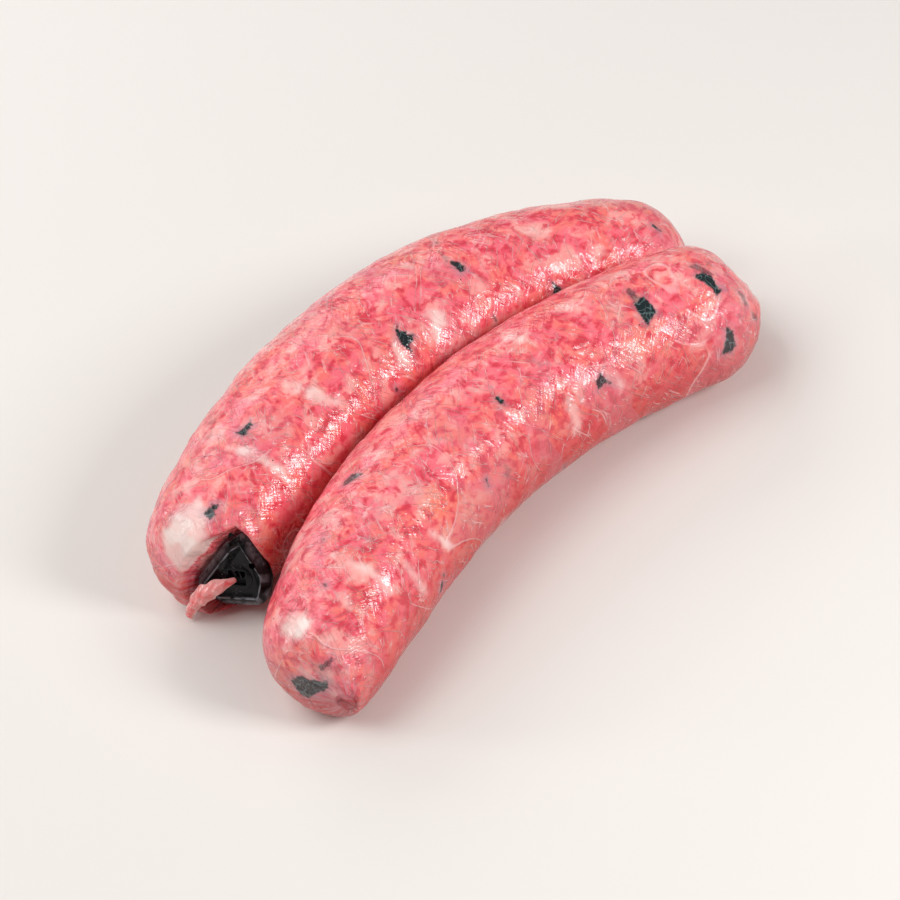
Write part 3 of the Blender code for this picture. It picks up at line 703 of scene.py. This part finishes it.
def raw_meat(name):
    """Minced meat behind thin wet casing: mottles, fat, herb scraps, pepper, fibres, wrinkles and a
    painted shade on its underside.
    """
    paint = Paint(name)
    place = paint.place()
    unrolled = paint.place("unrolled")
    left = paint.place("left_lay")
    right = paint.place("right_lay")
    adrift = paint.wander(place, 95, 0.006)
    slanted = paint.wander(left, 110, 0.005)
    mince = paint.noise(adrift, 140, 2.5, 0.5)
    chips = paint.noise(paint.wander(place, 190, 0.004), 370, 3.0, 0.5)
    broad = paint.noise(place, 42, 1.0)

    lean = paint.blend(paint.noise(place, 130, 2.0).step(0.42, 0.6),
                       tint(251, 116, 130), tint(254, 124, 118))
    colour = paint.blend(mince.step(0.34, 0.50), tint(255, 160, 156), lean)
    colour = paint.blend(broad.step(0.54, 0.66) * 0.36, colour, tint(255, 142, 104))
    flecked = chips + (mince - 0.5) * 0.35
    colour = paint.blend(flecked.step(0.48, 0.58) * 0.7, colour, tint(234, 74, 94))
    colour = paint.blend(flecked.step(0.57, 0.66) * 0.6, colour, tint(206, 44, 62))
    colour = paint.blend(flecked.step(0.42, 0.30) * 0.42, colour, tint(255, 190, 182))
    # painted shade: the lower side of each link is blended towards a dark red, more strongly the lower
    # it lies
    lowered = Amount(paint, paint.node("ShaderNodeSeparateXYZ", {}, (unrolled,)).outputs["Z"])
    painted_underside_shade = lowered.step(0.75 * ROUND_RADIUS, -0.35 * ROUND_RADIUS)
    colour = paint.blend(painted_underside_shade * 0.82, colour, tint(198, 50, 48))

    lump = paint.share("fat") + (paint.noise(place, 330, 3.0) - 0.5) * 4.0
    fat = lump.step(1.5, -1.5) * paint.share("fat_strength")
    fatty = paint.blend(mince.step(0.42, 0.6) * 0.5, tint(255, 236, 228), tint(255, 184, 176))
    colour = paint.blend(fat * 0.92, colour, fatty)

    # the casing is doubled here and there, with a pale line where its edge lies
    along = Amount(paint, paint.node("ShaderNodeSeparateXYZ", {}, (unrolled,)).outputs["X"])
    hoops = (along * 30 + paint.noise(place, 32, 1.0) * 2.4).join_one("FRACT")
    edge = abs(hoops - 0.5).step(0.016, 0.005) * paint.noise(place, 90, 1.0).step(0.46, 0.54)
    doubled = hoops.step(0.5, 0.502) * paint.noise(place, 40, 1.0).step(0.46, 0.54)
    colour = paint.blend(doubled * 0.2, colour, tint(208, 140, 156))

    # fibres and fine veins in the casing, as long broken lines
    fibres = edge
    for lay, scale, squash, thin, rare in ((left, 330, (0.30, 1, 1), 0.020, 0.46),
                                           (right, 360, (0.26, 1, 1), 0.020, 0.48),
                                           (unrolled, 300, (1, 0.22, 0.22), 0.016, 0.5),
                                           (adrift, 190, (1.2, 0.8, 0.8), 0.014, 0.48)):
        bands = paint.noise(paint.stretch(lay, squash), scale, 1.0)
        shown = paint.noise(paint.stretch(lay, (1, 1, 1), (0.4, 0.2, 0)), 150, 1.0)
        shown = shown.step(rare, rare + 0.12)
        fibres = fibres.most(abs(bands - 0.5).step(thin, thin * 0.2) * shown)
    colour = paint.blend(fibres * 0.34, colour, tint(255, 216, 214))

    gathered = paint.share("gather") ** 3
    veil = gathered * paint.noise(paint.stretch(unrolled, (0.35, 1, 1)), 330, 2.0).step(0.4, 0.62)
    colour = paint.blend(veil * 0.42, colour, tint(222, 176, 182))

    # scraps of herb leaf, veiled by the meat and the casing around them
    herb = paint.share("herb")
    strength = paint.share("herb_strength")
    torn = herb + (paint.noise(place, 900, 3.0, 0.65) - 0.5) * 1.6
    smear = herb + (paint.noise(paint.stretch(left, (0.4, 1, 1)), 420, 2.0) - 0.5) * 4.0
    colour = paint.blend(smear.step(2.4, -0.6) * strength * 0.55, colour, tint(164, 140, 152))
    veins = abs(paint.noise(adrift, 420, 1.0) - 0.5).step(0.05, 0.0)
    leaf = paint.blend(veins * 0.7, tint(20, 38, 40), tint(100, 124, 124))
    colour = paint.blend(torn.step(0.4, -0.3) * strength.step(0.0, 1.0), colour, leaf)

    # ground pepper
    for scale, size, rare in ((300, 0.075, 0.8), (560, 0.085, 0.84)):
        distance, chance = paint.cells(place, scale)
        colour = paint.blend(distance.step(size, size * 0.5) * chance.step(rare, rare + 0.02),
                             colour, tint(74, 22, 30))

    swirls = paint.noise(paint.stretch(adrift, (1.4, 0.85, 0.85)), 95, 1.0)
    wrinkled = paint.noise(place, 120, 1.0).step(0.46, 0.6)
    wrinkles = (swirls * 55).sine() * wrinkled
    creases = paint.noise(paint.stretch(left, (0.3, 1, 1)), 900, 1.0)
    creases += paint.noise(paint.stretch(right, (0.3, 1, 1)), 700, 1.0)
    skin = wrinkles * 0.5 + fibres * 0.9 + creases * 0.8 + paint.noise(slanted, 500, 3.0, 0.6)
    skin = skin * (1 - fat * 0.6)
    return paint.finish(Base_Color=colour, Roughness=0.15, Coat_Weight=0.06, Coat_Roughness=0.1,
                        Normal=paint.bump(skin, 0.19 * MM))


def black_plastic(name):
    """Glossy moulded plastic, with faint scuffs, damp smears, a few specks and a painted highlight along
    its ridge and edges.
    """
    paint = Paint(name)
    place = paint.place()
    smears = paint.noise(place, 260, 3.0, 0.6)
    colour = paint.blend(smears.step(0.45, 0.75), tint(13, 12, 15), tint(28, 27, 31))
    bands = paint.noise(paint.stretch(place, (1, 0.12, 0.5), (0, 0, 0.6)), 900, 2.0)
    scuffs = abs(bands - 0.5).step(0.012, 0.0) * smears.step(0.5, 0.62)
    colour = paint.blend(scuffs * 0.5, colour, tint(120, 118, 126))
    distance, chance = paint.cells(place, 750)
    specks = distance.step(0.11, 0.05) * chance.step(0.9, 0.92)
    colour = paint.blend(specks, colour, tint(206, 200, 180))
    # painted highlight: the ridge and the outer edges of the face are painted pale grey, broken up by
    # noise, for light caught on them
    painted_edge_highlight = paint.share("painted_edge_highlight") * paint.noise(place, 500, 2.0).step(0.25, 0.6)
    colour = paint.blend(painted_edge_highlight * 0.6, colour, tint(176, 180, 188))
    rough = smears.step(0.35, 0.7) * 0.16 + 0.1
    relief = smears * 0.7 + scuffs * 0.5 + specks * 0.8
    return paint.finish(Base_Color=colour, Roughness=rough, Specular_IOR_Level=0.2,
                        Normal=paint.bump(relief, 0.05 * MM))


def damp_casing(name):
    """Loose wet casing: pale and thin at its edges, redder where it is thick or folded."""
    paint = Paint(name)
    place = paint.place()
    patches = paint.noise(place, 300, 3.0, 0.55)
    colour = paint.blend(patches.step(0.38, 0.62), tint(255, 158, 156), tint(244, 96, 98))
    bands = paint.noise(paint.stretch(place, (0.6, 1.4, 1), (0.4, 0.3, 0.8)), 420, 1.0)
    veins = abs(bands - 0.5).step(0.03, 0.0)
    colour = paint.blend(veins * 0.5, colour, tint(255, 214, 206))
    colour = paint.blend(paint.share("thin") * 0.75, colour, tint(255, 206, 198))
    relief = patches * 0.8 + veins * 0.6 + paint.noise(place, 1500, 1.0) * 0.3
    return paint.finish(Base_Color=colour, Roughness=0.1, Coat_Weight=0.5, Coat_Roughness=0.05,
                        Normal=paint.bump(relief, 0.2 * MM))


# ---------------------------------------------------------------- pieces
def keep(piece, node, material):
    """Give a finished piece its material, and let it stand for its solid."""
    piece.data.materials.clear()
    piece.data.materials.append(material)
    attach(piece, "root")
    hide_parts(node)
    return piece


def make_link(name, link, spine, wall, side, clipped, seed):
    points, layers = lay_skin(name, link, spine, wall, side, clipped, seed)
    points, layers = close_poles(points, layers, POLE_DIMPLE)
    return skin_piece(f"{name}_skin", points, layers)


def apply_modifier(piece, kind, name, **settings):
    made = piece.modifiers.new(name, kind)
    for key, value in settings.items():
        setattr(made, key, value)
    deselect_all()
    bpy.context.view_layer.objects.active = piece
    piece.select_set(True)
    bpy.ops.object.modifier_apply(modifier=name)


def add_block(name, centre, size, turn=0.0, rounding=0.0):
    """A rounded block in the clip's frame, to be cut away from the clip or joined to it."""
    deselect_all()
    bpy.ops.mesh.primitive_cube_add(size=1, location=centre, rotation=(0, 0, turn))
    block = bpy.context.object
    block.name = name
    block.scale = size
    bpy.ops.object.transform_apply(location=True, rotation=True, scale=True)
    if rounding:
        apply_modifier(block, "BEVEL", "rounding", width=rounding, segments=2)
    return block


def add_peg(name, centre, radii, low, high, segments=32):
    """An oval peg in the clip's frame, from low to high."""
    deselect_all()
    bpy.ops.mesh.primitive_cylinder_add(vertices=segments, radius=1, depth=1,
                                        location=(*centre, (low + high) / 2))
    peg = bpy.context.object
    peg.name = name
    peg.scale = (*radii, high - low)
    bpy.ops.object.transform_apply(location=True, rotation=True, scale=True)
    return peg


def combine(piece, other, operation):
    apply_modifier(piece, "BOOLEAN", operation.lower(), operation=operation, object=other)
    bpy.data.objects.remove(other, do_unlink=True)


def clip_plate():
    """The clip's plate: rounded corners, sloping rim, raised ridge and a face folded at a crease."""
    deselect_all()
    bpy.ops.mesh.primitive_circle_add(vertices=len(CLIP_OUTLINE), radius=1, fill_type="NGON")
    plate = bpy.context.object
    for vert, (x, y) in zip(plate.data.vertices, CLIP_OUTLINE):
        vert.co = (x * MM, y * MM, -CLIP_THICK)
    for part in (*plate.data.polygons, *plate.data.edges):
        part.select = False
    for vert in plate.data.vertices:
        vert.select = vert.index in CLIP_ROUNDED
    bpy.ops.object.mode_set(mode="EDIT")
    bpy.ops.mesh.select_mode(type="VERT")
    bpy.ops.mesh.bevel(offset=CLIP_CORNER, segments=5, affect="VERTICES")
    bpy.ops.mesh.select_all(action="SELECT")
    bpy.ops.mesh.extrude_region_move(
        TRANSFORM_OT_translate={"value": (0, 0, CLIP_THICK - CLIP_RIM_DROP)})
    bpy.ops.mesh.inset(thickness=CLIP_RIM)
    bpy.ops.transform.translate(value=(0, 0, CLIP_RIM_DROP))
    bpy.ops.mesh.inset(thickness=RIDGE_WIDTH)
    bpy.ops.mesh.inset(thickness=RIDGE_SLOPE, depth=-RIDGE_DEPTH)
    bpy.ops.mesh.select_all(action="SELECT")
    bpy.ops.mesh.normals_make_consistent(inside=False)
    top, bottom = (Vector(CLIP_OUTLINE[index]) * MM for index in CLIP_CREASE)
    beyond = Vector((top.y - bottom.y, bottom.x - top.x)).normalized()
    bpy.ops.mesh.bisect(plane_co=(*top, 0), plane_no=(*beyond, 0))
    bpy.ops.object.mode_set(mode="OBJECT")
    for vert in plate.data.vertices:
        folded = max(0, (vert.co.xy - top).dot(beyond))
        if vert.co.z > -CLIP_THICK / 2:
            vert.co.z -= folded * CLIP_FOLD_SLOPE
    return plate


def make_clip():
    """The black end clip: its plate, a boss with a toothed pocket, a small hole and a stepped rim."""
    clip = clip_plate()
    apply_modifier(clip, "WELD", "cleaned", merge_threshold=0.08 * MM)
    apply_modifier(clip, "BEVEL", "worn_edges", width=0.12 * MM, segments=2, limit_method="ANGLE",
                   angle_limit=math.radians(22))
    across, up, deep = POCKET_SIZE
    boss = add_peg("boss", POCKET_CENTRE, BOSS_RADII, -CLIP_THICK / 2, BOSS_RISE - RIDGE_DEPTH)
    apply_modifier(boss, "BEVEL", "rounding", width=BOSS_RISE * 0.7, segments=3,
                   limit_method="ANGLE")
    combine(clip, boss, "UNION")
    combine(clip, add_block("pocket", (*POCKET_CENTRE, 0), (across, up, 2 * deep), 0, 0.4 * MM),
            "DIFFERENCE")
    for tooth in range(TEETH):
        x = POCKET_CENTRE[0] + across * ((tooth + 1) / (TEETH + 1) - 0.5)
        combine(clip, add_block("tooth", (x, POCKET_CENTRE[1] + up * 0.2, -deep * 0.8),
                                (0.5 * MM, up * 0.6, deep * 0.9), 0.3, 0.12 * MM), "UNION")
    combine(clip, add_peg("hole", HOLE_CENTRE, (HOLE_RADIUS, HOLE_RADIUS), -HOLE_DEPTH, CLIP_THICK),
            "DIFFERENCE")
    start, end = (Vector(corner) * MM for corner in CLIP_OUTLINE[:2])
    side = end - start
    inward = Vector((-side.y, side.x)).normalized()
    centre = start + side * sum(RIM_CHANNEL) / 2 + inward * (CLIP_RIM * 0.15)
    combine(clip, add_block("channel", (*centre, 0),
                            (side.length * (RIM_CHANNEL[1] - RIM_CHANNEL[0]), CLIP_RIM,
                             CLIP_RIM_DROP * 1.4), math.atan2(side.y, side.x), 0.1 * MM),
            "DIFFERENCE")
    # painted highlight: the ridge and the outer edges on the face side are marked here, to be painted
    # pale grey in the plastic's colour
    place = np.array([vert.co for vert in clip.data.vertices])
    inward = -outside_outline(place[:, 0], place[:, 1])
    ridge = 1 - np.abs(inward - CLIP_RIM - RIDGE_WIDTH) / RIDGE_WIDTH
    edge = (1 - np.abs(inward) / RIDGE_WIDTH) * (place[:, 2] > -CLIP_THICK / 2)
    painted_edge_highlight = clip.data.attributes.new("painted_edge_highlight", "FLOAT", "POINT")
    painted_edge_highlight.data.foreach_set("value", np.clip(np.maximum(ridge, edge), 0, 1).astype(np.float32))
    clip.matrix_world = clip_matrix()
    deselect_all()
    clip.select_set(True)
    bpy.context.view_layer.objects.active = clip
    bpy.ops.object.transform_apply(location=True, rotation=True, scale=True)
    bpy.ops.object.shade_smooth_by_angle(angle=math.radians(35))
    clip.name = clip.data.name = "moulded_clip"
    return clip


def strand_rings(controls, rows, columns, shape):
    """Rings of a strand along a Bezier route; shape gives the two half widths and the rise."""
    t = np.linspace(0, 1, rows)
    route = bezier([np.array(control) for control in controls], t[:, None])
    ahead = np.gradient(route, axis=0)
    ahead /= np.linalg.norm(ahead, axis=1, keepdims=True)
    across = np.cross(ahead, UP)
    across /= np.linalg.norm(across, axis=1, keepdims=True)
    above = np.cross(across, ahead)
    angle = 2 * np.pi * np.arange(columns) / columns
    sideways, upward = shape(t[:, None], angle[None])
    return (route[:, None] + across[:, None] * sideways[..., None]
            + above[:, None] * upward[..., None])


def tail_shape(t, angle):
    """Section of the loose casing: a flat ribbon with a thick middle and two ruffled edges."""
    out = np.cos(angle)
    lag = np.where(out < 0, TAIL_RUFFLE_LAG, 0)
    wave = np.sin(2 * np.pi * TAIL_RUFFLES * t + lag)
    swell = np.sin(np.pi * t)
    width = bezier(TAIL_HALF_WIDTHS, t) * MM
    scallop = 1 + TAIL_SCALLOP * swell * np.sin(2 * np.pi * TAIL_RUFFLES * t * 1.3 + 2 * lag)
    ruffle = TAIL_RUFFLE_DEPTH * wave * out ** 2 * swell
    folds = TAIL_FOLD_DEPTH * np.sin(5 * out + 9 * t) * np.sin(2 * np.pi * 4 * t + 3 * out) * swell
    thick = TAIL_HALF_THICK * (1 + 1.6 * (1 - out ** 2) * swell)
    return width * out * scallop, thick * np.sin(angle) + ruffle + folds


def make_tail():
    matrix = np.array(clip_matrix())
    controls = [np.array(control) * MM for control in TAIL_ROUTE]
    points = strand_rings(controls, TAIL_ROWS, STRAND_COLUMNS, tail_shape)
    crumple = noise_at(points, 2.2 * MM, 5) * TAIL_CRUMPLE
    points += outward_normals(points) * crumple[..., None]
    points = points @ matrix[:3, :3].T + matrix[:3, 3]
    angle = 2 * np.pi * np.arange(STRAND_COLUMNS) / STRAND_COLUMNS
    thin = np.broadcast_to(np.abs(np.cos(angle)) ** 3, points.shape[:2])
    return skin_piece("loose_casing", *close_poles(points, {"thin": thin}, -TAIL_HALF_THICK / 2))


def twist_shape(t, angle):
    """Section of the wrung casing: two main ridges and finer creases, all winding round it."""
    wound = angle - 2 * np.pi * TWIST_TURNS * t
    ridge = 1 - TWIST_FLATNESS / 2 * (1 - np.cos(2 * wound))
    creases = TWIST_CREASE * np.cos(9 * wound + 2 * np.sin(7 * t)) + TWIST_CREASE * np.cos(5 * wound)
    radius = TWIST_RADIUS * ridge + creases
    return radius * np.cos(angle), radius * np.sin(angle)


def make_twist(front_spine, rear_spine):
    """Casing wrung into a short strand between the far poles of the two links."""
    poles = [(spine.centres[-1] + np.array(LAID_AT), level(spine.facing[-1]))
             for spine in (front_spine, rear_spine)]
    (start, out), (end, back) = poles
    controls = (start + out * POLE_SPACE, start + out * (POLE_SPACE + TWIST_LEAD),
                end + back * (POLE_SPACE + TWIST_LEAD), end + back * POLE_SPACE)
    points = strand_rings(controls, TWIST_ROWS, STRAND_COLUMNS, twist_shape)
    wound = 2 * np.pi * np.arange(STRAND_COLUMNS) / STRAND_COLUMNS
    ridges = np.cos(2 * (wound[None] - 2 * np.pi * TWIST_TURNS * np.linspace(0, 1, TWIST_ROWS)[:, None]))
    return skin_piece("wrung_casing", *close_poles(points, {"thin": np.maximum(ridges, 0)}, 0.1 * MM))


front_spine = middle_line(FRONT)
rear_spine = middle_line(REAR)
wall = meeting_wall(front_spine, rear_spine)
meat = raw_meat("raw_meat")
casing = damp_casing("damp_casing")
keep(make_link("front", FRONT, front_spine, wall, 1, False, 3), "link_front", meat)
keep(make_link("rear", REAR, rear_spine, wall, -1, True, 11), "link_rear", meat)
keep(make_clip(), "end_clip", black_plastic("black_plastic"))
keep(make_tail(), "casing_tail", casing)
keep(make_twist(front_spine, rear_spine), "link_twist", casing)

# ---------------------------------------------------------------- floor, light and camera
deselect_all()
bpy.ops.mesh.primitive_plane_add(size=6)
floor = bpy.context.object
floor.name = "floor"
pale = Paint("pale_floor")
floor.data.materials.append(pale.finish(Base_Color=(0.82, 0.78, 0.74), Roughness=0.8))

world = bpy.context.scene.world or bpy.data.worlds.new("studio")
bpy.context.scene.world = world
world.use_nodes = True
world.node_tree.nodes["Background"].inputs["Color"].default_value = (1, 1, 1, 1)
world.node_tree.nodes["Background"].inputs["Strength"].default_value = 0.22


def soft_box(name, place, aim, width, height, power):
    light = bpy.data.lights.new(name, "AREA")
    light.shape = "RECTANGLE"
    light.size = width
    light.size_y = height
    light.energy = power
    lamp = bpy.data.objects.new(name, light)
    bpy.context.scene.collection.objects.link(lamp)
    lamp.location = place
    lamp.rotation_euler = (Vector(aim) - Vector(place)).to_track_quat("-Z", "Y").to_euler()


soft_box("window", (-0.55, 0.75, 0.3), (-0.05, 0, 0), 0.22, 0.3, 1.6)
soft_box("side", (0.2, -0.66, 0.46), (0, 0, 0), 0.22, 0.24, 4.0)
soft_box("overhead", (-0.45, 0.35, 1.0), (0, 0, 0), 1.1, 0.9, 7.3)
soft_box("behind", (0.2, 0.7, 0.5), (0, 0, 0), 0.7, 0.3, 2.0)

camera = bpy.data.objects.new("camera", bpy.data.cameras.new("camera"))
bpy.context.scene.collection.objects.link(camera)
camera.data.lens = 180
camera.data.sensor_width = 36
forward = Vector((0.4494, 0.5964, -0.6651))
above = Vector((0.5810, 0.3704, 0.7247))
turned = Matrix((forward.cross(above), above, -forward)).transposed()
camera.matrix_world = (Matrix.Translation(Vector((-0.5501, -0.7300, 0.8141)) + Vector(LAID_AT))
                       @ turned.to_4x4())
bpy.context.scene.camera = camera
bpy.context.scene.view_settings.view_transform = "Standard"
